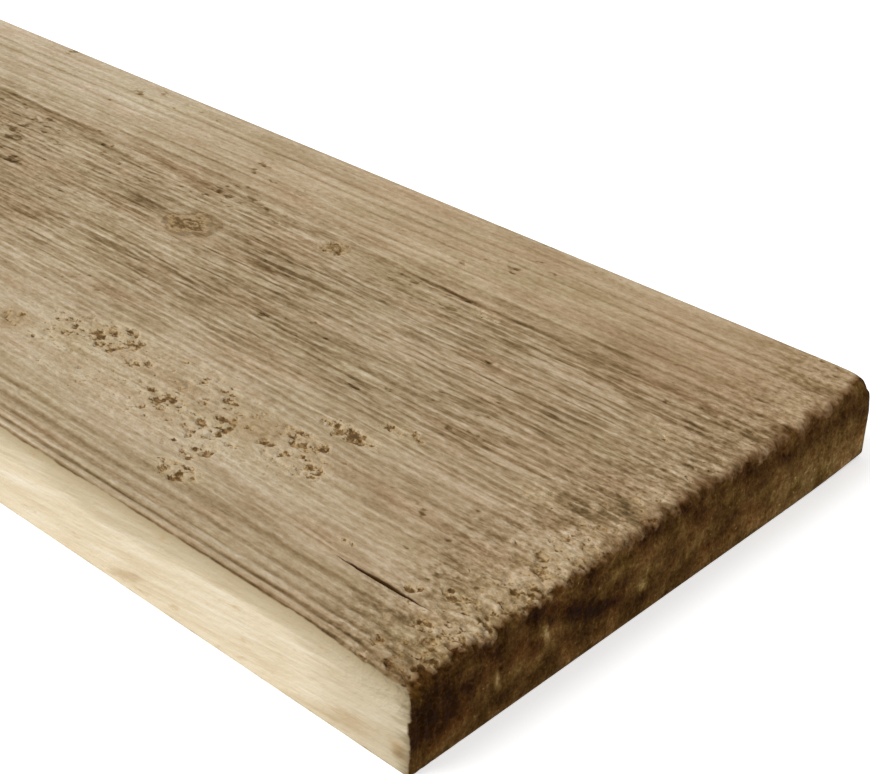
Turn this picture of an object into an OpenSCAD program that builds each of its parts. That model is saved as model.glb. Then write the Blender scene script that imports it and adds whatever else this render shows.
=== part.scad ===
// Weathered softwood plank: one sawn board with worn corners and a drying check.
// It lies flat on its bottom face. X runs along the grain towards the worn end,
// Y runs across the board from the front edge to the back edge, and Z is up.
// The origin is the middle of the bottom face. All lengths are millimetres.

/* [Board] */
// Length along the grain
board_length = 1000; // [400:50:3000]
// Width across the grain
board_width = 200; // [100:5:300]
// Thickness between the two wide faces
board_thickness = 27; // [18:1:50]

/* [Arrises] */
// Radius of the upper long arris on the front edge
front_arris_r = 2; // [0.5:0.25:4]
// Radius of the upper long arris on the back edge
back_arris_r = 1; // [0.5:0.25:4]
// Radius of both lower long arrises
lower_arris_r = 0.5; // [0.5:0.25:4]
// Radius of the upper arris across the worn end
worn_arris_r = 3.5; // [0.5:0.25:6]
// Radius of the upper arris across the other end
plain_arris_r = 1.5; // [0.5:0.25:4]
// Radius of the lower arris across each sawn end
end_foot_r = 0.5; // [0.5:0.25:4]

/* [Upright corners] */
// Plan radius of the corner where the worn end meets the back edge
back_corner_r = 1; // [0.5:0.25:6]
// Plan radius of the corner where the worn end meets the front edge
front_corner_r = 1; // [0.5:0.25:4]
// Plan radius of both corners of the other end
plain_corner_r = 2; // [0.5:0.25:6]

/* [Worn front corner] */
// How far the wear of the top reaches along the front edge
front_wear_length = 26; // [15:1:60]
// How far it reaches across the worn end
front_wear_width = 18; // [15:1:60]
// How far the corner has dropped below the top face
front_wear_drop = 5; // [1:0.5:6]

/* [Worn back corner] */
// How far the wear of the top reaches along the back edge
back_wear_length = 10; // [6:1:60]
// How far it reaches across the worn end
back_wear_width = 20; // [6:1:60]
// How far the corner has dropped below the top face
back_wear_drop = 3.5; // [1:0.5:4]

/* [Worn back foot] */
// How far the wear of the underside reaches along the back edge
foot_wear_length = 10; // [5:1:40]
// How far it reaches across the worn end
foot_wear_width = 40; // [5:1:60]
// How far the corner has risen above the underside
foot_wear_rise = 1.5; // [0.5:0.5:3]

/* [Drying check] */
// Length of the split on the top face
check_length = 32; // [20:1:80]
// Width of its mouth at the middle
check_mouth = 1.2; // [0.4:0.1:3]
// Depth at the middle
check_depth = 3; // [1:0.5:5]
// Distance from the worn end to the nearer tip of the split
check_end_gap = 17; // [5:1:60]
// Distance from the front edge to the split
check_edge_gap = 24; // [10:1:60]

/* [Hidden] */
$fn = 96;
// How far a cut runs past the face that it opens
overrun = 1;
// Sides of a rectangle that meet at each corner, in the order of corner radii
corner_sides = [[-1, -1], [1, -1], [1, 1], [-1, 1]];
// Radius of the arc that the bottom of the split follows
check_r = (pow(check_length / 2, 2) + pow(check_depth, 2)) / (2 * check_depth);

// What a square corner at the origin loses to a round that touches +X and +Y
module corner_waste(radius) {
    difference() {
        translate([-overrun, -overrun]) square(radius + overrun);
        translate([radius, radius]) circle(radius);
    }
}

// Rectangle on its centre with a radius of its own at each corner, counted
// anticlockwise from the lower left
module eased_outline(size, radii) {
    difference() {
        square(size, center = true);
        for (i = [0 : len(corner_sides) - 1])
            translate([corner_sides[i].x * size.x / 2, corner_sides[i].y * size.y / 2])
                rotate(90 * i) corner_waste(radii[i]);
    }
}

// Cross-section of the board, run along the grain
module long_section() {
    rotate([90, 0, 90]) linear_extrude(board_length + 2 * overrun, center = true)
        translate([0, board_thickness / 2])
            eased_outline([board_width, board_thickness],
                          [lower_arris_r, lower_arris_r, back_arris_r, front_arris_r]);
}

// Plan of the board, with its four upright corners
module plan_outline() {
    translate([0, 0, -overrun]) linear_extrude(board_thickness + 2 * overrun)
        eased_outline([board_length, board_width],
                      [plain_corner_r, front_corner_r, back_corner_r, plain_corner_r]);
}

// Side view of the board, with the arrises across its two ends
module side_outline() {
    rotate([90, 0, 0]) linear_extrude(board_width + 2 * overrun, center = true)
        translate([0, board_thickness / 2])
            eased_outline([board_length, board_thickness],
                          [end_foot_r, end_foot_r, worn_arris_r, plain_arris_r]);
}

// What a top corner at the worn end and front edge loses: the top face rolls off over a
// round that lies across the corner and is level with the face where the wear begins
module worn_corner(along, across, drop) {
    line_length = norm([along, across]);
    reach = along * across / line_length;
    round_r = (pow(reach, 2) + pow(drop, 2)) / (2 * drop);
    translate([board_length / 2 - along, -board_width / 2, board_thickness])
        rotate(atan2(across, along))
            difference() {
                translate([-line_length, -reach - overrun, -round_r])
                    cube([3 * line_length, reach + overrun, round_r + overrun]);
                translate([-2 * line_length, 0, -round_r]) rotate([0, 90, 0])
                    cylinder(r = round_r, h = 5 * line_length);
            }
}

// The three corners of the worn end that have lost some wood
module end_wear() {
    worn_corner(front_wear_length, front_wear_width, front_wear_drop);
    mirror([0, 1, 0]) {
        worn_corner(back_wear_length, back_wear_width, back_wear_drop);
        translate([0, 0, board_thickness]) mirror([0, 0, 1])
            worn_corner(foot_wear_length, foot_wear_width, foot_wear_rise);
    }
}

// Drying check: a split with sloping walls that is deepest and widest in the middle
// and runs out to a point at both tips, as a sharp wheel would cut it
module drying_check() {
    rim_depth = check_depth + overrun;
    rim_half = check_mouth / 2 * rim_depth / check_depth;
    translate([board_length / 2 - check_end_gap - check_length / 2,
               check_edge_gap - board_width / 2,
               board_thickness + check_r - check_depth])
        rotate([90, 0, 0]) rotate_extrude()
            polygon([[check_r - rim_depth, -rim_half], [check_r, 0],
                     [check_r - rim_depth, rim_half]]);
}

// The board itself, sawn from one piece
module plank() {
    color("#B39B77")
        difference() {
            intersection() {
                long_section();
                plan_outline();
                side_outline();
            }
            end_wear();
            drying_check();
        }
}

plank();
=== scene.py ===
# A weathered softwood plank. Its worn surface is cut into a dense closed mesh that follows
# the solid, and one timber material tells the brushed faces, the planed edges and the end
# grain apart.
import math
import bpy
import numpy as np
from mathutils import Matrix, Vector


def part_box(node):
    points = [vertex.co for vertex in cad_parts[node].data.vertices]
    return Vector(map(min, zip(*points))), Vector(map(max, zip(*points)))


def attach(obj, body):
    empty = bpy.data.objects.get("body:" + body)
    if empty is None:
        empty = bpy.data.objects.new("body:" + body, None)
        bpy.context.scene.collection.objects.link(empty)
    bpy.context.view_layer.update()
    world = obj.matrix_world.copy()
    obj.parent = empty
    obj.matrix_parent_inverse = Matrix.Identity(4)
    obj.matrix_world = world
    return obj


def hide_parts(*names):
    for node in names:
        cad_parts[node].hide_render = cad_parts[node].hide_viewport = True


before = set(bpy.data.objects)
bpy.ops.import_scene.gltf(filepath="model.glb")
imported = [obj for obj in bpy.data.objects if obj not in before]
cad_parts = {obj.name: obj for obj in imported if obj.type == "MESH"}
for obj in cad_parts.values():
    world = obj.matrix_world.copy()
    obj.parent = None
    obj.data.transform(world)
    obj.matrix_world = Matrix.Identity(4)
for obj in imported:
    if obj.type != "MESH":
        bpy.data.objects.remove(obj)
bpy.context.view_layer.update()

MM = 0.001
# Lowest and highest corner of the solid, and its length, width and thickness, in millimetres
LOW, HIGH = (np.array(corner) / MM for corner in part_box("plank"))
SIZE = HIGH - LOW
LENGTH, WIDTH, THICKNESS = SIZE

# Places on the plank are given in millimetres as (in from the worn end, in from the front
# edge, up from the underside). A face is the axis that it lies across and whether it is at
# the far end of that axis.
WORN_END, FAR_END = (0, False), (0, True)
FRONT, BACK = (1, False), (1, True)
UNDERSIDE, TOP = (2, False), (2, True)

# Radius of the round on each arris of the solid
ARRISES = (
    (FRONT, TOP, 2.0),
    (BACK, TOP, 1.0),
    (FRONT, UNDERSIDE, 0.5),
    (BACK, UNDERSIDE, 0.5),
    (WORN_END, TOP, 3.5),
    (FAR_END, TOP, 1.5),
    (WORN_END, UNDERSIDE, 0.5),
    (FAR_END, UNDERSIDE, 0.5),
    (WORN_END, BACK, 1.0),
    (WORN_END, FRONT, 1.0),
    (FAR_END, FRONT, 2.0),
    (FAR_END, BACK, 2.0),
)

# Corners of the worn end that have lost wood: the edge and the face that meet there, how far
# the wear reaches along the edge and across the end, how far the face falls away, and how
# far the dark of the end has crept over it. The front one runs out further along its edge
# than the solid does, by a millimetre of height at most.
WORN_CORNERS = (
    (FRONT, TOP, 42.0, 18.0, 5.0, 0.0),
    (BACK, TOP, 10.0, 20.0, 3.5, 13.0),
    (BACK, UNDERSIDE, 10.0, 40.0, 1.5, 0.0),
)

# The drying split: its length, mouth and depth, and its place from the end and front edge
SPLIT_LENGTH, SPLIT_MOUTH, SPLIT_DEPTH = 32.0, 1.2, 3.0
SPLIT_IN, SPLIT_ACROSS = 33.0, 24.0

# Knots in the top face: in from the worn end, in from the front edge, half length, half
# width, and how dark each is
KNOTS = (
    (221, 124, 12.0, 10.0, 1.0),
    (174, 146, 6.5, 4.5, 0.8),
    (207, 41, 9.0, 7.0, 0.45),
    (108, 50, 10.0, 7.0, 0.45),
    (560, 70, 10.0, 8.0, 0.8),
    (690, 140, 7.0, 6.0, 0.6),
    (830, 45, 9.0, 7.0, 0.8),
)

# Patches of torn grain: in from the worn end, in from the front edge, half length, half
# width, and how dense the pits are
TORN_PATCHES = (
    (176, 55, 12, 8, 1.0),
    (192, 50, 9, 6, 0.8),
    (206, 41, 9, 6, 0.7),
    (160, 51, 8, 4, 0.85),
    (124, 55, 3.5, 2, 1.0),
    (136, 42, 13, 5, 0.9),
    (117, 42, 7, 9, 0.9),
    (110, 32, 5, 7, 0.9),
    (106, 21, 9, 5, 0.9),
    (94, 55, 10, 5, 0.95),
    (88, 67, 12, 4, 1.0),
    (86, 47, 11, 7, 0.75),
    (78, 78, 9, 4, 0.75),
    (30, 81, 10, 4, 0.7),
    (51, 30, 2.5, 1.5, 1.0),
    (26, 28, 3, 2.5, 1.0),
    (17, 33, 4, 3, 1.0),
    (14, 19, 4, 3, 1.0),
    (224, 122, 7, 6, 0.6),
    (116, 52, 3, 2, 0.95),
    (100, 47, 3, 1.5, 0.95),
    (174, 146, 7, 5, 0.85),
    (108, 147, 6, 4, 0.7),
    (28, 130, 9, 5, 0.65),
    (145, 46, 70, 20, 0.63),
    (600, 120, 30, 10, 0.7),
    (760, 60, 40, 12, 0.8),
)

# Broad patches of knocks and gouges: in from the worn end, in from the front edge, half
# length and half width
GOUGED_PATCHES = ((330, 122, 100, 30), (650, 90, 120, 40))

# Long straight furrows near the front edge and towards the back: in from the front edge, half
# width, depth
FURROWS = (
    (1.3, 1.0, 0.48),
    (4.2, 1.2, 0.45),
    (7.9, 1.5, 0.30),
    (12.2, 1.8, 0.22),
    (17.7, 2.0, 0.22),
    (150.6, 1.5, 0.20),
    (158.2, 1.4, 0.22),
    (165.3, 1.3, 0.20),
    (169.9, 1.1, 0.14),
    (174.9, 1.1, 0.12),
    (181.0, 1.1, 0.15),
    (186.6, 1.1, 0.16),
    (193.2, 1.2, 0.08),
)

# Width of the growth rings on the top face, and bands of wider rings: where each band starts
# and ends across the plank, and the width of its rings. The last one runs on past the back edge.
RING_WIDTH = 3.1
RING_BANDS = ((25, 75, 3.8), (156, 400, 4.8))
# How far the rings wander, in millimetres, and how far they are out of step, in rings
RING_WANDER, RING_UNEVEN = 6.0, 2.2
# How far ahead of a knot the grain starts to part, in half lengths of the knot, and how far it
# is pushed aside, as a share of its distance from the middle of the knot
KNOT_AHEAD, KNOT_PUSH = 4, 0.25
# How far a long furrow drifts, from one side to the other
FURROW_DRIFT = 1.6

# How strongly weather has furrowed the rings, and how light the face is, at places across it
BANDS = (0.0, 0.11, 0.15, 0.37, 0.43, 0.75, 0.82, 1.0)
FURROWED = (0.3, 0.3, 0.45, 0.6, 1.0, 1.0, 0.3, 0.12)
LIGHTNESS = (0.665, 0.68, 0.70, 0.645, 0.61, 0.61, 0.68, 0.70)

# Marks on the planed front edge: in from the worn end, up, half length, half height, how far
# each climbs for each millimetre in, and how strong it is
EDGE_MARKS = (
    (104, 4.5, 7.0, 1.8, -0.3, 0.4),
    (20, 5.5, 9.0, 2.6, -0.15, 0.45),
    (4, 7.0, 3.0, 2.6, 0.0, 0.6),
)

# Slope of the planing strokes on the long edges, in radians
STROKE_SLANT = -0.14

# How the rings lean in the end: how far a ring moves across for each millimetre down
RING_LEAN = 2.1

# Stains on the worn end: in from the front edge, up, half width, half height, how far each
# leans across for each millimetre up, and how much lighter or darker it is
END_STAINS = (
    (10, 15, 17, 10, 0.0, -0.24),
    (64, 14.5, 8, 8.5, -2.2, -0.36),
    (160, 19, 36, 4, 0.5, -0.06),
    (49, 15, 1.2, 4.5, -0.2, 0.36),
    (31, 11, 1.2, 3.5, -0.2, 0.38),
    (24, 12, 0.8, 2.5, 0.1, 0.22),
    (89, 9, 2.4, 2.2, -0.3, 0.42),
    (105, 12, 35, 8, 0.0, 0.06),
    (175, 7, 36, 9, 0.0, 0.27),
)

# The grid that the mesh is cut from: its step, where along the plank it starts to widen and by
# how much for each millimetre, the same from the far end, and its finer steps at the split and
# in a strip along the front edge
GRID_STEP = 0.7
WIDENS_FROM, WIDENS_BY = 200.0, 0.012
FAR_END_STEP, FAR_END_WIDENS_BY = 0.5, 0.2
SPLIT_STEP = 0.25
FRONT_STEP, FRONT_STRIP = 0.4, 8.0
# How many triangles are left when the flat stretches have been thinned out
TRIANGLES = 195_000
# Keeps a divisor from being nothing
TINY = 1e-9

# Where something starts and where it is full, in from the worn end
ALONG = {
    "crumbling": (42.0, 6.0),
    "paler": (120.0, 350.0),
    "handled": (180.0, 40.0),
    "warm_end": (110.0, 0.0),
    "warm_back": (330.0, 150.0),
    "dirty_corner": (26.0, 3.0),
    "dirty_edge": (5.0, 0.0),
    "dull_edge": (40.0, 4.0),
}
# The same, in from the front edge
ACROSS = {
    "uneven": (165.0, 140.0),
    "rubbed": (40.0, 100.0),
    "crumbling": (60.0, 120.0),
    "spared": (30.0, 14.0),
    "warm_end": (5.0, 40.0),
    "warm_back": (130.0, 165.0),
    "creep": (40.0, 110.0),
    "dirty_corner": (15.0, 2.0),
}
# The same, up from the underside
UP = {"rough_end": (0.5, 5.0), "greyed": (17.5, 22.5), "foot": (5.0, 0.0), "shade_under_arris": (19.0, 24.0)}
# The same, inside the arrises of the ends, which is below 0 on the ends themselves
INSIDE = {
    "face": (-2.0, 1.0),
    "chewed": (4.0, -4.0),
    "near": (9.0, 0.0),
    "fade": (-10.0, -3.0),
    "rough_end": (-0.5, -3.0),
}
# How far in from the end its furrows are rubbed smooth, near the front edge and further back
RUBBED_AT_FRONT, RUBBED_AT_BACK = 28.0, 8.0
# How far the dirt of the end has crept over its arris, near the front edge and further back
CREPT_AT_FRONT, CREPT_AT_BACK = 3.5, 7.0
# How far the end is bitten, halfway up and at its top arris
BITE_HALFWAY, BITE_AT_TOP = 6.0, 17.0
# How far waves carry the grey of the planed edge up and down, and smears its dirt along
GREY_WAVES, DIRT_SMEARS = 19.0, 30.0
# How far the dark of the end runs on round the back corner
DARK_ROUND_BACK = 4.0
# How deep each kind of wear is cut, and where along the plank the last gouges are cut
GROOVE_DEPTH, PIT_DEPTH, GOUGE_DEPTH, CRUMBLED_DEPTH = 0.35, 1.0, 0.3, 0.9
CHEWED_DEPTH, FUZZ_DEPTH = 0.8, 0.9
LAST_GOUGES = 280.0

# Patterns of soft streaks: about how long, wide and high a streak is, in millimetres, and how
# many finer layers lie in it. Those in the grain have their width in growth rings. Real fibres
# and grit are too fine to show, so both are drawn as coarse as the picture needs.
STREAKS = {
    # how the rings run
    "wander": (160, 70, 40, 1),
    "uneven": (80, 4.2, 6, 2),
    "sway": (70, 14, 12, 1),
    "waver": (10, 3, 12, 1),
    # what weather and wear have cut, of which the presence of furrows is in the grain
    "presence": (24, 1.3, 7, 3),
    "patchy": (75, 20, 20, 2),
    "wobble": (90, 40, 20, 2),
    "lasting": (80, 2.2, 8, 2),
    "holes": (3.4, 2.6, 2.8, 3),
    "crumbs": (1.9, 1.6, 1.7, 2),
    "lumps": (9, 6, 5, 3),
    "knocks": (7.0, 3.8, 3.2, 2),
    "handled": (55, 30, 40, 1),
    "chewed": (16, 6.5, 10.0, 2),
    "frayed": (3, 1.8, 2.0, 2),
    "fuzz": (6, 2.2, 3.0, 3),
    "nibbled": (9, 6, 3, 3),
    # the colours of the wide faces, of which the lines are in the grain
    "lines": (28, 0.8, 0.9, 2),
    "fibres": (6, 0.8, 0.8, 2),
    "flecks": (7, 1.4, 1.5, 2),
    "mottle": (2.6, 1.5, 1.5, 2),
    "bands": (38, 3.4, 1.4, 3),
    "clouds": (70, 16, 10, 3),
    "hue": (40, 12, 10, 2),
    "swirl": (7, 5, 20, 3),
    # the colours of the planed edges
    "strokes": (40, 12, 1.5, 3),
    "smears": (26, 12, 4.0, 3),
    "marks": (10, 12, 3.0, 3),
    "waves": (80, 20, 6, 4),
    # the colours of the end grain
    "blots": (12, 12, 7, 4),
    "runs": (12, 2.4, 7, 3),
    "grit": (4, 0.9, 1.0, 2),
}


def below(points, face):
    """How far each point lies below one face of the sawn block."""
    axis, far = face
    return SIZE[axis] - points[:, axis] if far else points[:, axis]


def graded(length, step_at):
    """Places from 0 to length, each step_at(place) on from the last."""
    places = [0.0]
    while places[-1] < length:
        places.append(places[-1] + step_at(places[-1]))
    return np.array(places) * (length / places[-1])


def step_along(inward):
    """Step of the grid along the plank, which is fine at both ends."""
    from_worn_end = GRID_STEP + WIDENS_BY * max(inward - WIDENS_FROM, 0)
    from_far_end = FAR_END_STEP + FAR_END_WIDENS_BY * (LENGTH - inward)
    return min(from_worn_end, from_far_end)


def step_across(across):
    """Step of the grid across the plank, which is finest at the split."""
    if abs(across - SPLIT_ACROSS) < SPLIT_MOUTH:
        return SPLIT_STEP
    return FRONT_STEP if across < FRONT_STRIP else GRID_STEP


def sawn_block():
    """A closed grid over the six faces of the sawn block: its points, its quads as four
    point numbers each, and the face that each quad is on."""
    places = (
        graded(LENGTH, step_along),
        graded(WIDTH, step_across),
        graded(THICKNESS, lambda up: GRID_STEP),
    )
    skin = np.zeros([len(line) for line in places], bool)
    for axis in range(3):
        np.moveaxis(skin, axis, 0)[[0, -1]] = True
    number = np.full(skin.shape, -1)
    number[skin] = np.arange(skin.sum())
    where = np.argwhere(skin)
    points = np.stack([line[where[:, axis]] for axis, line in enumerate(places)], -1)
    quads, sides = [], []
    for side in (WORN_END, FAR_END, FRONT, BACK, UNDERSIDE, TOP):
        axis, far = side
        grid = np.moveaxis(number, axis, 0)[-1 if far else 0]
        corners = np.stack((grid[:-1, :-1], grid[1:, :-1], grid[1:, 1:], grid[:-1, 1:]), -1)
        corners = corners.reshape(-1, 4)
        # the first axis runs against the frame's X, so the faces are wound to suit
        quads.append(corners if far == (axis == 1) else corners[:, ::-1])
        sides += [side] * len(corners)
    return points, np.concatenate(quads), np.array(sides)


def ease_arris(points, first, second, radius):
    """Rounds the arris between two faces, squeezing the grid near it and not folding it."""
    insets = [np.clip(radius - below(points, face), 0, None) for face in (first, second)]
    across = np.maximum(np.hypot(*insets), TINY)
    squeeze = 1 - np.maximum(*insets) / across
    for (axis, far), inset in zip((first, second), insets):
        points[:, axis] += (-1 if far else 1) * inset * squeeze


def wear_corner(points, edge, face, along, across, drop):
    """Rolls a face off towards its corner at the worn end and one long edge."""
    share = np.clip(1 - below(points, WORN_END) / along - below(points, edge) / across, 0, 1)
    near_face = 1 - below(points, face) / THICKNESS
    points[:, 2] += (-1 if face == TOP else 1) * drop * share**2 * near_face**2


def split_depth(sawn):
    """Depth of the drying split at each point of the top face."""
    along = (sawn[:, 0] - SPLIT_IN) / (SPLIT_LENGTH / 2)
    deep = np.clip(1 - along**2, 0, None)
    half_mouth = np.maximum(SPLIT_MOUTH / 2 * deep, TINY)
    wall = np.clip(1 - np.abs(sawn[:, 1] - SPLIT_ACROSS) / half_mouth, 0, None)
    return SPLIT_DEPTH * deep * wall * (sawn[:, 2] == THICKNESS)


def lay_out_flat(mesh, sawn, quads, sides):
    """Lays the faces out as strips in a UV map, so that the finish can be kept as a picture."""
    # millimetres between the strips, and the share of the map that is free at each side
    gap, margin = 5.0, 0.004
    layout = mesh.uv_layers.new(name="OFBake")
    corners = sawn[quads]
    flat = np.zeros((len(quads), 4, 2))
    start = gap
    for side in (TOP, UNDERSIDE, FRONT, BACK):
        on_side = (sides == side).all(axis=1)
        across = 3 - side[0]
        flat[on_side, :, 0] = corners[on_side, :, 0] / LENGTH
        flat[on_side, :, 1] = start + corners[on_side, :, across]
        start += SIZE[across] + gap
    for side, shift in ((WORN_END, 0.0), (FAR_END, 0.5)):
        on_side = (sides == side).all(axis=1)
        flat[on_side, :, 0] = shift + corners[on_side, :, 1] / (2 * WIDTH + gap)
        flat[on_side, :, 1] = start + corners[on_side, :, 2]
    flat[:, :, 0] = margin + (1 - 2 * margin) * flat[:, :, 0]
    flat[:, :, 1] /= start + THICKNESS + gap
    layout.data.foreach_set("uv", flat.astype(np.float32).ravel())


def plank_mesh():
    """The worn plank before its grain is cut, in the frame and in metres."""
    sawn, quads, sides = sawn_block()
    points = sawn.copy()
    for arris in ARRISES:
        ease_arris(points, *arris)
    # the last value of a corner is for its finish alone
    for corner in WORN_CORNERS:
        wear_corner(points, *corner[:-1])
    points[:, 2] -= split_depth(sawn)
    in_frame = np.stack((HIGH[0] - points[:, 0], LOW[1] + points[:, 1], LOW[2] + points[:, 2]), -1)

    mesh = bpy.data.meshes.new("weathered_plank")
    mesh.vertices.add(len(points))
    mesh.vertices.foreach_set("co", (in_frame * MM).astype(np.float32).ravel())
    mesh.loops.add(quads.size)
    mesh.loops.foreach_set("vertex_index", quads.astype(np.int32).ravel())
    mesh.polygons.add(len(quads))
    mesh.polygons.foreach_set("loop_start", np.arange(0, quads.size, 4, dtype=np.int32))
    mesh.update(calc_edges=True)
    mesh.validate()
    lay_out_flat(mesh, sawn, quads, sides)
    return mesh


def add(tree, kind, inputs=(), out=0, stops=(), **settings):
    """One node: its settings, and what goes into its sockets, in order or by name, as values
    or as the outputs of other nodes. Gives back one of its outputs."""
    node = tree.nodes.new(kind)
    for name, value in settings.items():
        setattr(node, name, value)
    for socket, value in inputs.items() if isinstance(inputs, dict) else enumerate(inputs):
        if isinstance(value, bpy.types.NodeSocket):
            tree.links.new(value, node.inputs[socket])
        else:
            node.inputs[socket].default_value = value
    for place, colour in stops:
        elements = node.color_ramp.elements
        stop = elements[0] if place == 0 else elements[-1] if place == 1 else elements.new(place)
        stop.color = colour
    return node.outputs[out] if node.outputs else node


MATH = "ShaderNodeMath"
VECTOR = "ShaderNodeVectorMath"
RANGE = "ShaderNodeMapRange"
MIX = "ShaderNodeMix"
RAMP = "ShaderNodeValToRGB"
SPLIT_UP = "ShaderNodeSeparateXYZ"
PUT_TOGETHER = "ShaderNodeCombineXYZ"
# A range that starts and ends softly
SMOOTH = {"interpolation_type": "SMOOTHSTEP"}
# The sockets of a mix of colours, which share their names with those of other mixes
MIX_SHARE, MIX_UNDER, MIX_OVER, MIX_COLOUR = 0, 6, 7, 2


def paint(code):
    """A linear colour from an sRGB hex code."""
    shares = [int(code[i : i + 2], 16) / 255 for i in (1, 3, 5)]
    return (*(s / 12.92 if s <= 0.04045 else ((s + 0.055) / 1.055) ** 2.4 for s in shares), 1.0)


def streaks(tree, place, name):
    """One of the patterns of soft streaks, as numbers about a half."""
    *sizes, detail = STREAKS[name]
    scaled = add(tree, VECTOR, (place, [1 / size for size in sizes]), operation="MULTIPLY")
    settings = {"Vector": scaled, "Scale": 1, "Detail": detail, "Roughness": 0.6}
    return add(tree, "ShaderNodeTexNoise", settings)


def product(tree, number, *shares):
    """A number cut down by several shares in turn."""
    for share in shares:
        number = add(tree, MATH, (number, share), operation="MULTIPLY")
    return number


def summed(tree, base, parts):
    """A base number with each pattern added, taken about a half and times its strength."""
    for pattern, strength in parts:
        centred = add(tree, MATH, (pattern, 0.5), operation="SUBTRACT")
        base = add(tree, MATH, (centred, strength, base), operation="MULTIPLY_ADD")
    return base


def laid_over(tree, colour, layers, blend="MIX"):
    """A colour with others, as hex codes or outputs, laid over it in turn by their shares."""
    for share, layer in layers:
        over = paint(layer) if isinstance(layer, str) else layer
        sockets = {MIX_SHARE: share, MIX_UNDER: colour, MIX_OVER: over}
        colour = add(tree, MIX, sockets, out=MIX_COLOUR, data_type="RGBA", blend_type=blend)
    return colour


def plank_place(tree):
    """Where a point of the surface is on the plank, in millimetres."""
    if tree.bl_idname == "GeometryNodeTree":
        position = add(tree, "GeometryNodeInputPosition")
    else:
        position = add(tree, "ShaderNodeTexCoord", out="Object")
    to_plank = (-1 / MM, 1 / MM, 1 / MM), (HIGH[0], -LOW[1], -LOW[2])
    return add(tree, VECTOR, (position, *to_plank), operation="MULTIPLY_ADD")


def off_centre(tree, place, centre, half_sizes):
    """Distance of each place from a centre, as a share of the half sizes of an ellipse."""
    scale = [1 / half if half else 0 for half in half_sizes]
    shift = [-at * by for at, by in zip(centre, scale)]
    offset = add(tree, VECTOR, (place, scale, shift), operation="MULTIPLY_ADD")
    return add(tree, VECTOR, (offset,), out="Value", operation="LENGTH")


def distances(tree, place):
    """How far each place is in from the worn end, in from the front edge and up, and how far it
    is inside the arrises of the ends and of the long edges, which is below 0 on those."""
    inward = add(tree, SPLIT_UP, (place,), out=0)
    across, up = inward.node.outputs[1:]
    from_back = add(tree, MATH, (WIDTH, across), operation="SUBTRACT")
    to_edge = add(tree, MATH, (across, from_back), operation="MINIMUM")
    from_far = add(tree, MATH, (LENGTH, inward), operation="SUBTRACT")
    to_end = add(tree, MATH, (inward, from_far), operation="MINIMUM")
    from_top = add(tree, MATH, (THICKNESS, up), operation="SUBTRACT")
    to_face = add(tree, MATH, (from_top, up), operation="MINIMUM")
    # the dark of the end runs on round the back corner
    past_back = add(tree, MATH, (from_back, DARK_ROUND_BACK), operation="ADD")
    nearest = add(tree, MATH, (to_face, across), operation="MINIMUM")
    nearest = add(tree, MATH, (nearest, past_back), operation="MINIMUM")
    from_end = add(tree, MATH, (to_end, nearest), operation="SUBTRACT")

    # the wide faces fall away at the worn corners, and dark creeps over some of them
    crept = 0.0
    for edge, face, along, reach, drop, dark in WORN_CORNERS:
        near = add(tree, MATH, (inward, -1 / along, 1.0), operation="MULTIPLY_ADD")
        slope = (to_edge, -1 / reach, near)
        share = add(tree, MATH, slope, operation="MULTIPLY_ADD", use_clamp=True)
        own_edge = add(tree, RANGE, (across, WIDTH, 0.0) if edge == FRONT else (across, 0.0, WIDTH))
        own_face = add(tree, RANGE, (up, 0.0, THICKNESS) if face == TOP else (up, THICKNESS, 0.0))
        own = add(tree, MATH, (own_edge, own_face), operation="MULTIPLY")
        share = add(tree, MATH, (share, own), operation="MULTIPLY")
        fall = add(tree, MATH, (share, share), operation="MULTIPLY")
        to_face = add(tree, MATH, (fall, -drop, to_face), operation="MULTIPLY_ADD")
        crept = add(tree, MATH, (share, dark, crept), operation="MULTIPLY_ADD")
    from_edge = add(tree, MATH, (to_edge, to_face), operation="SUBTRACT")
    return {
        "inward": inward,
        "across": across,
        "up": up,
        "from_end": from_end,
        "from_edge": from_edge,
        "crept": crept,
    }


def beside_split(tree, spots):
    """How far each place is outside the mouth of the split, which is below 0 in it."""
    to_tip = (2 / SPLIT_LENGTH, -2 * SPLIT_IN / SPLIT_LENGTH)
    along = add(tree, MATH, (spots["inward"], *to_tip), operation="MULTIPLY_ADD")
    narrowed = add(tree, MATH, (along, along), operation="MULTIPLY")
    mouth = (SPLIT_MOUTH / 2, -SPLIT_MOUTH / 2)
    closed = add(tree, MATH, (narrowed, *mouth), operation="MULTIPLY_ADD")
    aside = add(tree, MATH, (spots["across"], SPLIT_ACROSS), operation="SUBTRACT")
    gape = add(tree, MATH, (aside,), operation="ABSOLUTE")
    return add(tree, MATH, (gape, closed), operation="ADD")


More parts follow.
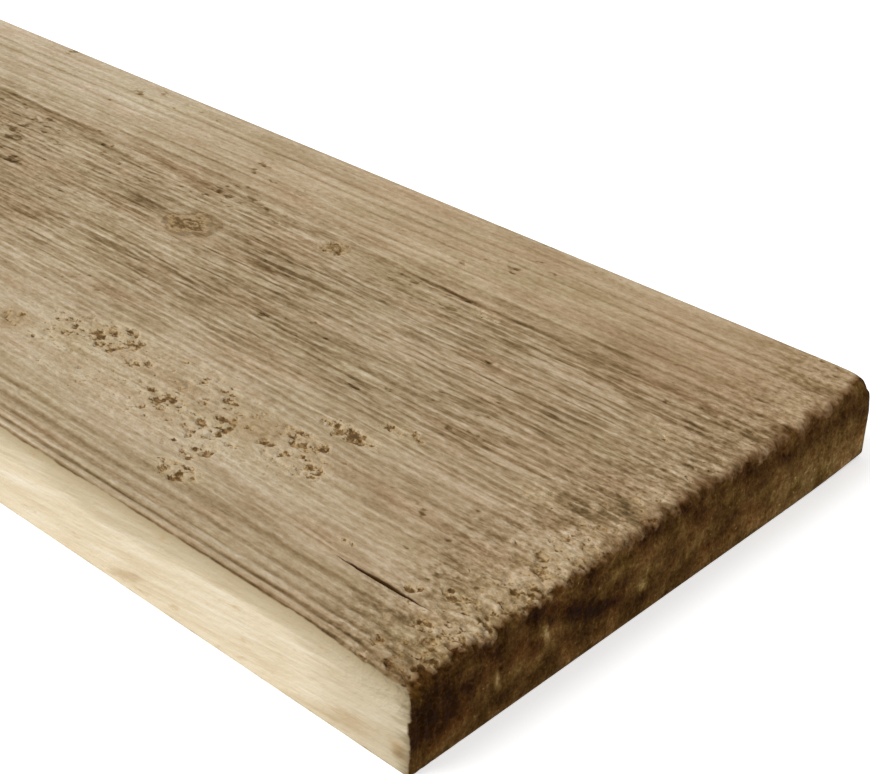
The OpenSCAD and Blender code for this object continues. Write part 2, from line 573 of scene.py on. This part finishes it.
def knots_and_grain(tree, place, spots):
    """How close each place is to a knot, 1 in the middle and 0 at the rim, the same times how
    dark the knot is, and where the place lies in the grain: along it in millimetres, across it in
    growth rings, and up in millimetres. The rings lean, wander slowly and part round each knot."""
    drop = add(tree, MATH, (THICKNESS, spots["up"]), operation="SUBTRACT")
    level = add(tree, MATH, (drop, -RING_LEAN, spots["across"]), operation="MULTIPLY_ADD")
    wander = streaks(tree, place, "wander")
    level = add(tree, MATH, (wander, RING_WANDER, level), operation="MULTIPLY_ADD")
    knot = knot_dark = -1.0
    for knot_in, knot_across, half_length, half_width, dark in KNOTS:
        centre = (knot_in, knot_across, 0)
        off = off_centre(tree, place, centre, (half_length, half_width, 0))
        inside = add(tree, MATH, (1.0, off), operation="SUBTRACT")
        knot = add(tree, MATH, (inside, knot), operation="MAXIMUM")
        own_dark = add(tree, MATH, (inside, dark), operation="MULTIPLY")
        knot_dark = add(tree, MATH, (own_dark, knot_dark), operation="MAXIMUM")
        # the grain starts to part well before the knot
        flow = off_centre(tree, place, centre, (KNOT_AHEAD * half_length, half_width, 0))
        outside = add(tree, MATH, (flow, 1.0), operation="MAXIMUM")
        parted = add(tree, MATH, (outside, -2.0), operation="POWER")
        aside = add(tree, MATH, (spots["across"], knot_across), operation="SUBTRACT")
        pushed = add(tree, MATH, (aside, parted), operation="MULTIPLY")
        level = add(tree, MATH, (pushed, -KNOT_PUSH, level), operation="MULTIPLY_ADD")
    rings = add(tree, MATH, (level, 1 / RING_WIDTH), operation="MULTIPLY")
    for start, end, width in RING_BANDS:
        fewer = (end - start) * (1 / RING_WIDTH - 1 / width)
        lost = add(tree, RANGE, (level, start, end, 0, fewer))
        rings = add(tree, MATH, (rings, lost), operation="SUBTRACT")
    # no two rings are the same width, apart from the broad even ones towards the back
    uneven = streaks(tree, place, "uneven")
    unlike = add(tree, RANGE, (spots["across"], *ACROSS["uneven"], 0.0, RING_UNEVEN))
    rings = add(tree, MATH, (uneven, unlike, rings), operation="MULTIPLY_ADD")
    # the lines sway over some centimetres and waver a little over one
    for name, reach in (("sway", 1.2), ("waver", 0.6)):
        drift = streaks(tree, place, name)
        rings = add(tree, MATH, (drift, reach, rings), operation="MULTIPLY_ADD")
    grain = add(tree, PUT_TOGETHER, (spots["inward"], rings, spots["up"]))
    return knot, knot_dark, rings, grain


def wear_patterns(tree):
    """What weather and wear have done to the plank, as patterns of numbers, with the places that
    they follow. The relief and the material both build these, so that dirt and painted shade lie
    in the hollows."""
    place = plank_place(tree)
    spots = distances(tree, place)
    knot, knot_dark, rings, grain = knots_and_grain(tree, place, spots)
    share_across = add(tree, MATH, (spots["across"], 1 / WIDTH), operation="MULTIPLY")

    # each ring's soft wood has worn down to a furrow, which comes and goes along the plank
    stops = [(at, (v, v, v, 1)) for at, v in zip(BANDS, FURROWED)]
    furrowed = add(tree, RAMP, (share_across,), stops=stops)
    phase = add(tree, MATH, (rings, 0.5), operation="PINGPONG")
    presence = streaks(tree, grain, "presence")
    width = add(tree, MATH, (presence, -0.9, 0.45), operation="MULTIPLY_ADD")
    phase = add(tree, MATH, (phase, width), operation="ADD")
    furrow_line = add(tree, RANGE, (phase, 0.42, 0.02), **SMOOTH)
    present = add(tree, RANGE, (presence, 0.3, 0.56), **SMOOTH)
    # some patches are brushed deeper than others, and the last millimetres are rubbed smooth
    patchy = streaks(tree, place, "patchy")
    brushed = add(tree, RANGE, (patchy, 0.36, 0.6, 0.45, 1.1))
    rub = (*ACROSS["rubbed"], RUBBED_AT_FRONT, RUBBED_AT_BACK)
    rub_reach = add(tree, RANGE, (spots["across"], *rub))
    rubbed = add(tree, RANGE, (spots["from_end"], -1.0, rub_reach))
    clear = add(tree, RANGE, (knot, -0.2, -1.6, 0.2, 1.0))
    grooves = product(tree, furrow_line, present, furrowed, brushed, rubbed, clear)

    # the long furrows are straight but for a slow drift
    wobble = streaks(tree, place, "wobble")
    lasting = streaks(tree, place, "lasting")
    lasts = add(tree, RANGE, (lasting, 0.35, 0.55, 0.65, 1.0))
    furrows = 0.0
    for at, half_width, depth in FURROWS:
        drift = (wobble, FURROW_DRIFT, at - FURROW_DRIFT / 2)
        aim = add(tree, MATH, drift, operation="MULTIPLY_ADD")
        off = add(tree, MATH, (spots["across"], aim), operation="SUBTRACT")
        near = add(tree, MATH, (off,), operation="ABSOLUTE")
        furrow = add(tree, RANGE, (near, half_width, 0.0, 0.0, depth), **SMOOTH)
        furrows = add(tree, MATH, (furrows, furrow), operation="ADD")
    furrows = add(tree, MATH, (furrows, lasts), operation="MULTIPLY")

    # where grain is torn, holes of 1 to 3 mm open in it, close together in the worst patches
    towards_end = add(tree, RANGE, (spots["inward"], *ALONG["crumbling"]))
    near_front = add(tree, RANGE, (spots["across"], *ACROSS["crumbling"], 0.85, 0.5))
    upper = add(tree, RANGE, (spots["up"], 0.4 * THICKNESS, 0.7 * THICKNESS))
    crumbling = product(tree, upper, towards_end, near_front)
    torn = crumbling
    for at, across, half_length, half_width, dense in TORN_PATCHES:
        off = off_centre(tree, place, (at, across, 0), (half_length, half_width, 0))
        patch = add(tree, RANGE, (off, 1.5, 0.6, 0.0, dense), **SMOOTH)
        torn = add(tree, MATH, (torn, patch), operation="MAXIMUM")
    # the underside is whole
    torn = add(tree, MATH, (torn, upper), operation="MULTIPLY")
    holes = streaks(tree, place, "holes")
    crumbs = streaks(tree, place, "crumbs")
    mouth = add(tree, RANGE, (torn, 0.0, 1.0, 0.22, 0.635))
    bottom = add(tree, MATH, (mouth, 0.18), operation="SUBTRACT")
    pits = add(tree, RANGE, (holes, mouth, bottom), **SMOOTH)
    # the last centimetres have crumbled into lumps
    lumps = streaks(tree, place, "lumps")
    crumbled = add(tree, RANGE, (lumps, 0.56, 0.36), **SMOOTH)
    crumbled = add(tree, MATH, (crumbled, crumbling), operation="MULTIPLY")

    # knocks and gouges are thick in some places and rare in others
    knocks = streaks(tree, place, "knocks")
    handled = streaks(tree, place, "handled")
    for at, across, half_length, half_width in GOUGED_PATCHES:
        off = off_centre(tree, place, (at, across, 0), (half_length, half_width, 0))
        thick = add(tree, RANGE, (off, 1.3, 0.5, 0.0, 0.2))
        handled = add(tree, MATH, (handled, thick), operation="ADD")
    spared = add(tree, RANGE, (spots["across"], *ACROSS["spared"], 0.0, -0.4))
    handled = add(tree, MATH, (handled, spared), operation="ADD")
    gouge = add(tree, RANGE, (handled, 0.35, 0.75, 0.2, 0.45))
    gouge_bottom = add(tree, MATH, (gouge, 0.12), operation="SUBTRACT")
    specks = add(tree, RANGE, (knocks, gouge, gouge_bottom), **SMOOTH)

    # the top arris of each end is chewed in bites of some millimetres, and its fibres frayed
    chewed = streaks(tree, place, "chewed")
    frayed = streaks(tree, place, "frayed")
    ragged = add(tree, MATH, (frayed, 0.2, chewed), operation="MULTIPLY_ADD")
    ragged = add(tree, MATH, (ragged, 0.6), operation="SUBTRACT")
    bites = (0.55 * THICKNESS, 0.9 * THICKNESS, BITE_HALFWAY, BITE_AT_TOP)
    bite = add(tree, RANGE, (spots["up"], *bites))
    ragged_end = add(tree, MATH, (ragged, bite, spots["from_end"]), operation="MULTIPLY_ADD")
    dark_end = add(tree, MATH, (ragged_end, spots["crept"]), operation="SUBTRACT")

    return spots | {
        "place": place,
        "grain": grain,
        "share_across": share_across,
        "knot": knot,
        "rubbed": rubbed,
        "phase": phase,
        "brushed": brushed,
        "holes": holes,
        "crumbs": crumbs,
        "mouth": mouth,
        "grooves": grooves,
        "furrows": furrows,
        "torn": torn,
        "pits": pits,
        "specks": specks,
        "crumbled": crumbled,
        "ragged_end": ragged_end,
        "dark_end": dark_end,
        "knot_dark": knot_dark,
        "off_split": beside_split(tree, spots),
        "crumbling": crumbling,
        "furrowed": furrowed,
    }


def wear_relief():
    """Geometry nodes that cut the wear into the plank, inwards only."""
    tree = bpy.data.node_groups.new("wear_relief", "GeometryNodeTree")
    tree.interface.new_socket("Plank", in_out="INPUT", socket_type="NodeSocketGeometry")
    tree.interface.new_socket("Plank", in_out="OUTPUT", socket_type="NodeSocketGeometry")
    wear = wear_patterns(tree)
    # weather beats on the top and hardly reaches the underside
    weather = add(tree, RANGE, (wear["up"], 0.0, THICKNESS, 0.3, 1.0))
    wide_face = add(tree, RANGE, (wear["from_edge"], -0.5, 1.0))
    off_end = add(tree, RANGE, (wear["from_end"], *INSIDE["face"]))
    beside = add(tree, RANGE, (wear["off_split"], 0.3, 2.0))
    on_face = product(tree, wide_face, off_end, weather, beside)

    # further along the mesh is too coarse to hold the gouges
    gouge_depth = add(tree, RANGE, (wear["inward"], WIDENS_FROM, LAST_GOUGES, GOUGE_DEPTH, 0.0))
    cut = wear["furrows"]
    hollows = (
        (wear["grooves"], GROOVE_DEPTH),
        (wear["pits"], PIT_DEPTH),
        (wear["specks"], gouge_depth),
        (wear["crumbled"], CRUMBLED_DEPTH),
    )
    for pattern, depth in hollows:
        cut = add(tree, MATH, (pattern, depth, cut), operation="MULTIPLY_ADD")
    cut = add(tree, MATH, (cut, on_face), operation="MULTIPLY")

    # the top arris of the end is chewed and rolled over
    chewed = add(tree, RANGE, (wear["ragged_end"], *INSIDE["chewed"], 0.0, CHEWED_DEPTH), **SMOOTH)
    near_end = add(tree, RANGE, (wear["from_end"], *INSIDE["near"]), **SMOOTH)
    fade = add(tree, RANGE, (wear["from_end"], *INSIDE["fade"]), **SMOOTH)
    high = add(tree, RANGE, (wear["up"], 0.6 * THICKNESS, 0.85 * THICKNESS))
    chewed = product(tree, chewed, near_end, high)
    cut = add(tree, MATH, (chewed, fade, cut), operation="MULTIPLY_ADD")

    # the end grain is rough, but keeps a clean foot and a clean upright arris at the back
    fuzz = streaks(tree, wear["place"], "fuzz")
    end_cut = add(tree, RANGE, (wear["from_end"], *INSIDE["rough_end"]))
    off_foot = add(tree, RANGE, (wear["up"], *UP["rough_end"]))
    off_back = add(tree, RANGE, (wear["across"], WIDTH - 0.3, WIDTH - 4.0))
    fuzz_cut = add(tree, RANGE, (fuzz, 0.4, 0.7, 0.0, FUZZ_DEPTH))
    fuzz_cut = product(tree, fuzz_cut, off_foot, off_back)
    cut = add(tree, MATH, (fuzz_cut, end_cut, cut), operation="MULTIPLY_ADD")

    inwards = add(tree, MATH, (cut, -MM), operation="MULTIPLY")
    normal = add(tree, "GeometryNodeInputNormal")
    move = add(tree, VECTOR, {"Vector": normal, "Scale": inwards}, operation="SCALE")
    plank = add(tree, "NodeGroupInput")
    worn = add(tree, "GeometryNodeSetPosition", {"Geometry": plank, "Offset": move})
    add(tree, "NodeGroupOutput", (worn,))
    return tree


def brushed_face(tree, wear):
    """The wide faces: grey-brown ridges with a painted highlight, between furrows darkened by dirt
    and painted shade, with knots and torn pits. Also gives back how light it is, its fine relief
    and how its hue drifts."""
    place, grain = wear["place"], wear["grain"]
    lines = streaks(tree, grain, "lines")
    fibres = streaks(tree, place, "fibres")
    flecks = streaks(tree, place, "flecks")
    mottle = streaks(tree, place, "mottle")
    bands = streaks(tree, place, "bands")
    clouds = streaks(tree, place, "clouds")
    stops = [(at, (v, v, v, 1)) for at, v in zip(BANDS, LIGHTNESS)]
    tone = add(tree, RAMP, (wear["share_across"],), stops=stops)
    crumbly = add(tree, MATH, (wear["crumbling"], 1.3, 0.4), operation="MULTIPLY_ADD")
    lined = add(tree, RANGE, (wear["brushed"], 0.3, 1.1, 0.2, 0.45))
    calm = add(tree, MATH, (wear["furrowed"], 0.6, 0.4), operation="MULTIPLY_ADD")
    lined = product(tree, lined, wear["rubbed"], calm)
    fibrous = add(tree, MATH, (wear["rubbed"], 0.1), operation="MULTIPLY")
    banded = add(tree, MATH, (wear["furrowed"], 0.3, 0.05), operation="MULTIPLY_ADD")
    flecked = add(tree, MATH, (wear["furrowed"], 0.6), operation="MULTIPLY")
    parts = (
        (lines, lined),
        (fibres, fibrous),
        (flecks, flecked),
        (bands, banded),
        (clouds, 0.35),
        (mottle, crumbly),
    )
    tone = summed(tree, tone, parts)
    # the ridges between the furrows are painted a little paler, as a painted highlight
    painted_ridge_highlight = add(tree, RANGE, (wear["phase"], 0.25, 0.5, 0.0, 0.08))
    smooth = add(tree, MATH, (1.0, wear["furrowed"]), operation="SUBTRACT")
    further = add(tree, RANGE, (wear["inward"], *ALONG["paler"], 0.0, 0.1))
    paler = add(tree, MATH, (smooth, further), operation="MULTIPLY")
    # the lips of the pits are pale splintered wood, painted paler still as a painted highlight
    off_lip = add(tree, MATH, (wear["holes"], wear["mouth"]), operation="SUBTRACT")
    lip = add(tree, RANGE, (off_lip, 0.14, 0.0, 0.0, 0.18))
    pale_splinters_and_highlight = add(tree, MATH, (lip, wear["torn"]), operation="MULTIPLY")
    # the last stretch is a little dirtier, and most of all where it crumbles
    handled = add(tree, RANGE, (wear["inward"], *ALONG["handled"], 0.0, -0.01))
    sullied = add(tree, MATH, (wear["crumbling"], -0.1, handled), operation="MULTIPLY_ADD")
    for part in (painted_ridge_highlight, paler, pale_splinters_and_highlight, sullied):
        tone = add(tree, MATH, (tone, part), operation="ADD")
    # the furrows, grooves, gouges and crumbled hollows are darker, partly with dirt and partly as
    # painted shade
    darkening = (
        (wear["grooves"], -0.36),
        (wear["furrows"], -0.95),
        (wear["specks"], -0.36),
        (wear["crumbled"], -0.4),
    )
    for pattern, strength in darkening:
        tone = add(tree, MATH, (pattern, strength, tone), operation="MULTIPLY_ADD")
    colour = add(
        tree,
        RAMP,
        (tone,),
        stops=(
            (0, paint("#42331D")),
            (0.25, paint("#705B3D")),
            (0.45, paint("#937D5D")),
            (0.62, paint("#AE997A")),
            (0.8, paint("#C6B498")),
            (1, paint("#DED0B8")),
        ),
    )
    hue = streaks(tree, place, "hue")
    rosy = add(tree, RANGE, (hue, 0.5, 0.7, 0.0, 0.18))
    warm_end = add(tree, RANGE, (wear["inward"], *ALONG["warm_end"], 0.0, 0.17))
    off_front = add(tree, RANGE, (wear["across"], *ACROSS["warm_end"], 0.2, 1.0))
    rosy = add(tree, MATH, (warm_end, off_front, rosy), operation="MULTIPLY_ADD")
    mossy = add(tree, RANGE, (hue, 0.5, 0.3, 0.0, 0.25))
    # the broad rings at the back are warmer
    warm_back = add(tree, RANGE, (wear["across"], *ACROSS["warm_back"], 0.0, 0.22))
    nearer = add(tree, RANGE, (wear["inward"], *ALONG["warm_back"]))
    warm_back = add(tree, MATH, (warm_back, nearer), operation="MULTIPLY")
    tints = ((rosy, "#F3CDB4"), (mossy, "#E6E6C6"), (warm_back, "#F6DFB8"))
    colour = laid_over(tree, colour, tints, "MULTIPLY")

    # a knot is smooth and tan, with broken dark rings that show most in the darkest ones
    swirl = streaks(tree, place, "swirl")
    turned = summed(tree, 0.15, ((swirl, 3.0), (mottle, 1.1)))
    turns = add(tree, MATH, (wear["knot"], 2.0, turned), operation="MULTIPLY_ADD")
    ring = add(tree, MATH, (turns, 0.5), operation="PINGPONG")
    ringed = add(tree, RANGE, (ring, 0.0, 0.48))
    share = add(tree, MATH, (wear["knot"], 0.05), operation="MAXIMUM")
    dark = add(tree, MATH, (wear["knot_dark"], share), operation="DIVIDE", use_clamp=True)
    marked = add(tree, MATH, (ringed, -0.9, -0.05), operation="MULTIPLY_ADD")
    knot_tone = add(tree, MATH, (marked, dark, 0.9), operation="MULTIPLY_ADD")
    knot_stops = (
        (0, paint("#57401F")),
        (0.4, paint("#86693F")),
        (0.75, paint("#AB9069")),
        (1, paint("#C2A886")),
    )
    knot_colour = add(tree, RAMP, (knot_tone,), stops=knot_stops)
    outline = summed(tree, wear["knot"], ((swirl, 1.6), (mottle, 1.0)))
    shown = add(tree, RANGE, (dark, 0.2, 0.8, 0.45, 0.85))
    knotty = add(tree, RANGE, (outline, -0.35, 0.65, 0.0, shown), **SMOOTH)
    # torn grain shows tan wood round dark brown holes; the holes are painted darker with depth as
    # painted shade, and the raised crumbs paler as a painted highlight
    tanned = add(tree, RANGE, (wear["torn"], 0.35, 1.0, 0.0, 0.4))
    pit_stops = (
        (0, paint("#CDB48A")),
        (0.35, paint("#A98C60")),
        (0.65, paint("#7F613A")),
        (1, paint("#553C1C")),
    )
    hollow_brown_and_shade = add(tree, MATH, (wear["pits"], 0.68, 0.05), operation="MULTIPLY_ADD")
    pit_tone = summed(tree, hollow_brown_and_shade, ((wear["crumbs"], -2.4),))
    pit_colour = add(tree, RAMP, (pit_tone,), stops=pit_stops)
    pitted = add(tree, RANGE, (wear["pits"], 0.0, 0.8, 0.0, 0.95))
    marks = ((tanned, "#B39A6F"), (knotty, knot_colour), (pitted, pit_colour))
    colour = laid_over(tree, colour, marks)

    # the dirt of the end has crept a little way over its arris, further towards the back, and
    # over the front corner
    creep = (*ACROSS["creep"], CREPT_AT_FRONT, CREPT_AT_BACK)
    creep_reach = add(tree, RANGE, (wear["across"], *creep))
    browned = add(tree, RANGE, (wear["dark_end"], creep_reach, -0.5, 0.0, 0.85), **SMOOTH)
    down_edge = add(tree, RANGE, (wear["inward"], *ALONG["dirty_corner"]), **SMOOTH)
    down_end = add(tree, RANGE, (wear["across"], *ACROSS["dirty_corner"]), **SMOOTH)
    cornered = product(tree, down_edge, down_end, 0.6)
    browned = add(tree, MATH, (browned, cornered), operation="MAXIMUM")
    colour = laid_over(tree, colour, ((browned, "#A2845E"),), "MULTIPLY")

    raised = add(tree, MATH, (wear["rubbed"], 0.2), operation="MULTIPLY")
    bumps = ((fibres, raised), (mottle, 0.5), (wear["crumbs"], wear["torn"]))
    height = summed(tree, 0.0, bumps)
    return colour, tone, height, hue


def planed_edge(tree, wear):
    """The long edges: cream new wood with faint slanting strokes and tan marks, greyer towards
    the top."""
    place = wear["place"]
    slant = {"Vector": place, "Angle": STROKE_SLANT}
    slanted = add(tree, "ShaderNodeVectorRotate", slant, rotation_type="Y_AXIS")
    strokes = streaks(tree, slanted, "strokes")
    smears = streaks(tree, slanted, "smears")
    tone = summed(tree, 0.56, ((strokes, 0.75), (smears, 0.8)))
    colour = add(
        tree,
        RAMP,
        (tone,),
        stops=(
            (0, paint("#C6AD84")),
            (0.35, paint("#DCCAA9")),
            (0.6, paint("#EADBBE")),
            (1, paint("#F8F0E0")),
        ),
    )
    marks = streaks(tree, slanted, "marks")
    marked = add(tree, RANGE, (marks, 0.6, 0.74, 0.0, 0.6))
    waves = streaks(tree, slanted, "waves")
    grey_line = summed(tree, wear["up"], ((waves, GREY_WAVES),))
    greyed = add(tree, RANGE, (grey_line, *UP["greyed"], 0.0, 0.6), **SMOOTH)
    darkening = summed(tree, wear["inward"], ((smears, DIRT_SMEARS),))
    dirtied = add(tree, RANGE, (darkening, *ALONG["dirty_edge"], 0.0, 0.7))
    dulled = add(tree, RANGE, (darkening, *ALONG["dull_edge"], 0.0, 0.65))
    # the upper arris is rubbed with the dirt of the top
    near_top = add(tree, RANGE, (wear["from_edge"], -3.5, 0.0, 0.0, 0.6), **SMOOTH)
    upper_half = add(tree, RANGE, (wear["up"], 0.4 * THICKNESS, 0.6 * THICKNESS))
    rubbed = add(tree, MATH, (near_top, upper_half), operation="MULTIPLY")
    spotted = 0.0
    for at, up, half_length, half_height, climb, strong in EDGE_MARKS:
        inward = add(tree, MATH, (wear["inward"], at), operation="SUBTRACT")
        rise = add(tree, MATH, (inward, -climb, wear["up"]), operation="MULTIPLY_ADD")
        spot = add(tree, PUT_TOGETHER, (inward, rise, 0.0))
        off = off_centre(tree, spot, (0, up, 0), (half_length, half_height, 0))
        off = summed(tree, off, ((marks, 3.0),))
        mark = add(tree, RANGE, (off, 1.7, 0.0, 0.0, strong), **SMOOTH)
        spotted = add(tree, MATH, (mark, spotted), operation="MAXIMUM")
    shades = (
        (greyed, "#B7A582"),
        (marked, "#C6A574"),
        (dulled, "#BFB194"),
        (rubbed, "#A08C68"),
        (spotted, "#AE8A57"),
        (dirtied, "#86714E"),
    )
    return laid_over(tree, colour, shades)


def end_grain(tree, wear, hue):
    """The sawn ends: they have drunk dirt and gone dark brown, in blots and runs, with painted shade
    just under the top arris.
    """
    place = wear["place"]
    blots = streaks(tree, place, "blots")
    runs = streaks(tree, place, "runs")
    grit = streaks(tree, place, "grit")
    tone = summed(tree, 0.48, ((blots, 1.1), (runs, 0.45), (grit, 0.5)))
    flecks = add(tree, RANGE, (grit, 0.66, 0.78, 0.0, 0.2))
    foot = add(tree, RANGE, (wear["up"], *UP["foot"], 0.0, 0.1))
    # the top of the end is painted a little darker, as painted shade under its rounded arris
    shade_under_arris = add(tree, RANGE, (wear["up"], *UP["shade_under_arris"], 0.0, -0.05))
    for part in (flecks, foot, shade_under_arris):
        tone = add(tree, MATH, (tone, part), operation="ADD")
    for across, up, half_width, half_height, lean, light in END_STAINS:
        rise = add(tree, MATH, (wear["up"], up), operation="SUBTRACT")
        leant = add(tree, MATH, (rise, -lean, wear["across"]), operation="MULTIPLY_ADD")
        spot = add(tree, PUT_TOGETHER, (leant, rise, 0.0))
        off = off_centre(tree, spot, (across, 0, 0), (half_width, half_height, 0))
        stain = add(tree, RANGE, (off, 1.6, 0.0, 0.0, light), **SMOOTH)
        tone = add(tree, MATH, (tone, stain), operation="ADD")
    colour = add(
        tree,
        RAMP,
        (tone,),
        stops=(
            (0, paint("#160801")),
            (0.25, paint("#331A03")),
            (0.45, paint("#553917")),
            (0.6, paint("#6D4F27")),
            (0.8, paint("#937545")),
            (1, paint("#C6AC7F")),
        ),
    )
    ruddy = add(tree, RANGE, (hue, 0.5, 0.68, 0.0, 0.5))
    mossy = add(tree, RANGE, (hue, 0.5, 0.32, 0.0, 0.5))
    return laid_over(tree, colour, ((ruddy, "#F4CBAE"), (mossy, "#E0E8B8")), "MULTIPLY")


def weathered_spruce():
    """Old sawn spruce. Weather has brushed the wide faces into grey-brown ridges, painted a little
    paler as a highlight, and furrows dark with dirt and painted shade; the long edges were planed
    later and are still cream, and the end grain has drunk dirt and gone dark brown, with painted
    shade under its top arris. All of it is dry and matt."""
    material = bpy.data.materials.new("weathered_spruce")
    material.use_nodes = True
    tree = material.node_tree
    shader = tree.nodes["Principled BSDF"]
    shader.inputs["IOR"].default_value = 1.5
    # loose fibres and dust scatter nearly all of the gloss
    shader.inputs["Specular IOR Level"].default_value = 0.05
    wear = wear_patterns(tree)
    colour, tone, height, hue = brushed_face(tree, wear)

    # the planing took in the long arrises, and weather has nibbled at their upper line
    upper = add(tree, RANGE, (wear["up"], 0.4 * THICKNESS, 0.5 * THICKNESS, 0.0, -0.5))
    creep = add(tree, MATH, (upper, wear["from_edge"]), operation="ADD")
    nibbled = streaks(tree, wear["place"], "nibbled")
    creep = summed(tree, creep, ((nibbled, 2.5),))
    planed = add(tree, RANGE, (creep, 0.3, -0.4), **SMOOTH)
    # the dark of the end starts sharply at its upright edges and slowly on its worn top arris
    low, high = 0.6 * THICKNESS, 0.9 * THICKNESS
    first = add(tree, RANGE, (wear["up"], low, high, 0.4, 0.7))
    full = add(tree, RANGE, (wear["up"], low, high, -0.6, -1.4))
    on_end = add(tree, RANGE, (wear["dark_end"], first, full), **SMOOTH)

    # the walls of the split are painted dark brown, as painted shade inside the narrow crack
    painted_split_shade = add(tree, RANGE, (wear["off_split"], 0.15, -0.1), **SMOOTH)
    finishes = (
        (planed, planed_edge(tree, wear)),
        (on_end, end_grain(tree, wear, hue)),
        (painted_split_shade, "#452A0C"),
    )
    colour = laid_over(tree, colour, finishes)
    tree.links.new(colour, shader.inputs["Base Color"])

    rough = add(tree, RANGE, (tone, 0.2, 0.9, 0.92, 0.76))
    tree.links.new(rough, shader.inputs["Roughness"])
    bump = add(tree, "ShaderNodeBump", {"Strength": 0.8, "Distance": MM, "Height": height})
    tree.links.new(bump, shader.inputs["Normal"])
    return material


def make_plank():
    """The plank with its wear cut in, its mesh thinned out and its material put on."""
    plank = bpy.data.objects.new("weathered_plank", plank_mesh())
    plank.data.shade_smooth()
    bpy.context.scene.collection.objects.link(plank)
    relief = plank.modifiers.new("wear_relief", "NODES")
    relief.node_group = wear_relief()
    thin = plank.modifiers.new("thin_out", "DECIMATE")
    thin.ratio = TRIANGLES / (2 * len(plank.data.polygons))
    thin.use_collapse_triangulate = True
    # the large flat triangles of the planed edges set the normals at their corners
    even = plank.modifiers.new("even_normals", "WEIGHTED_NORMAL")
    even.mode = "FACE_AREA"
    worn = plank.evaluated_get(bpy.context.evaluated_depsgraph_get())
    cut = bpy.data.meshes.new_from_object(worn)
    plank.modifiers.clear()
    plank.data = cut
    cut.name = "weathered_plank"
    # thinning can push a point out of the sawn block by some hundredths of a millimetre
    points = np.empty(3 * len(cut.vertices), np.float32)
    cut.vertices.foreach_get("co", points)
    points = np.clip(points.reshape(-1, 3), LOW * MM, HIGH * MM)
    cut.vertices.foreach_set("co", points.astype(np.float32).ravel())
    cut.materials.clear()
    cut.materials.append(weathered_spruce())
    return plank


def seen_directly(tree):
    """1 for what the camera sees, straight, in a gloss or through glass, and else 0."""
    camera = add(tree, "ShaderNodeLightPath", out="Is Camera Ray")
    rays = camera.node.outputs
    seen = add(tree, MATH, (camera, rays["Is Glossy Ray"]), operation="MAXIMUM")
    return add(tree, MATH, (seen, rays["Is Transmission Ray"]), operation="MAXIMUM")


# The studio, in metres and watts: half the width of the floor, what the sky gives to the plank
# and shows to the camera, and the lamp
FLOOR_HALF = 6.0
SKY_LIGHT, SKY_SHOWN = 0.5, 1.0
LAMP_SIZE, LAMP_POWER = 1.6, 38
LAMP_PLACE, LAMP_AIM = (-0.5, -1.3, 1.9), (0.35, 0, 0)


def studio():
    """A pale floor that shows white and keeps the shadow, a soft lamp and an even sky."""
    half = FLOOR_HALF
    corners = [(-half, -half, 0), (half, -half, 0), (half, half, 0), (-half, half, 0)]
    mesh = bpy.data.meshes.new("floor")
    mesh.from_pydata(corners, [], [(0, 1, 2, 3)])
    floor = bpy.data.objects.new("floor", mesh)
    bpy.context.scene.collection.objects.link(floor)
    # white card with a matt surface: it throws light back evenly and shows no gloss
    material = bpy.data.materials.new("matt_white_card")
    material.use_nodes = True
    tree = material.node_tree
    shader = tree.nodes["Principled BSDF"]
    shader.inputs["Base Color"].default_value = paint("#F4F3F1")
    shader.inputs["Roughness"].default_value = 1.0
    shader.inputs["Specular IOR Level"].default_value = 0.0
    tree.links.new(seen_directly(tree), shader.inputs["Emission Strength"])
    shader.inputs["Emission Color"].default_value = paint("#BFBFBF")
    mesh.materials.append(material)

    world = bpy.data.worlds.new("studio")
    bpy.context.scene.world = world
    world.use_nodes = True
    sky = world.node_tree
    background = sky.nodes["Background"]
    background.inputs["Color"].default_value = paint("#FFFFFF")
    strength = add(sky, RANGE, (seen_directly(sky), 0, 1, SKY_LIGHT, SKY_SHOWN))
    sky.links.new(strength, background.inputs["Strength"])

    lamp = bpy.data.lights.new("soft_lamp", "AREA")
    lamp.shape = "DISK"
    lamp.size = LAMP_SIZE
    lamp.energy = LAMP_POWER
    lamp_object = bpy.data.objects.new("soft_lamp", lamp)
    lamp_object.location = LAMP_PLACE
    aim = Vector(LAMP_AIM) - lamp_object.location
    lamp_object.rotation_euler = aim.to_track_quat("-Z", "Y").to_euler()
    bpy.context.scene.collection.objects.link(lamp_object)


# The camera that fits the photograph: how far it is turned and raised about the plank, and its
# slight roll, in degrees, and its place, lens and sensor in millimetres
CAMERA_TURN, CAMERA_RISE, CAMERA_ROLL = 41.933, 30.265, 1.973
CAMERA_PLACE = (715.54, -335.52, 292.34)
CAMERA_LENS, CAMERA_SENSOR = 75.0, 36.0


def make_camera():
    """The camera, which sees the plank as the photograph does."""
    turn, rise, roll = (math.radians(a) for a in (CAMERA_TURN, CAMERA_RISE, CAMERA_ROLL))
    back = Vector((math.sin(turn) * math.cos(rise), -math.cos(turn) * math.cos(rise), math.sin(rise)))
    right = Vector((math.cos(turn), math.sin(turn), 0))
    up = back.cross(right)
    rolled_right = right * math.cos(roll) + up * math.sin(roll)
    rolled_up = up * math.cos(roll) - right * math.sin(roll)
    data = bpy.data.cameras.new("camera")
    data.lens = CAMERA_LENS
    data.sensor_width = CAMERA_SENSOR
    camera = bpy.data.objects.new("camera", data)
    turned = Matrix((rolled_right, rolled_up, back)).transposed().to_4x4()
    camera.matrix_world = Matrix.Translation(Vector(CAMERA_PLACE) * MM) @ turned
    bpy.context.scene.collection.objects.link(camera)
    bpy.context.scene.camera = camera


plank = make_plank()
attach(plank, "root")
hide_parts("plank")
studio()
make_camera()
bpy.context.scene.view_settings.view_transform = "Standard"
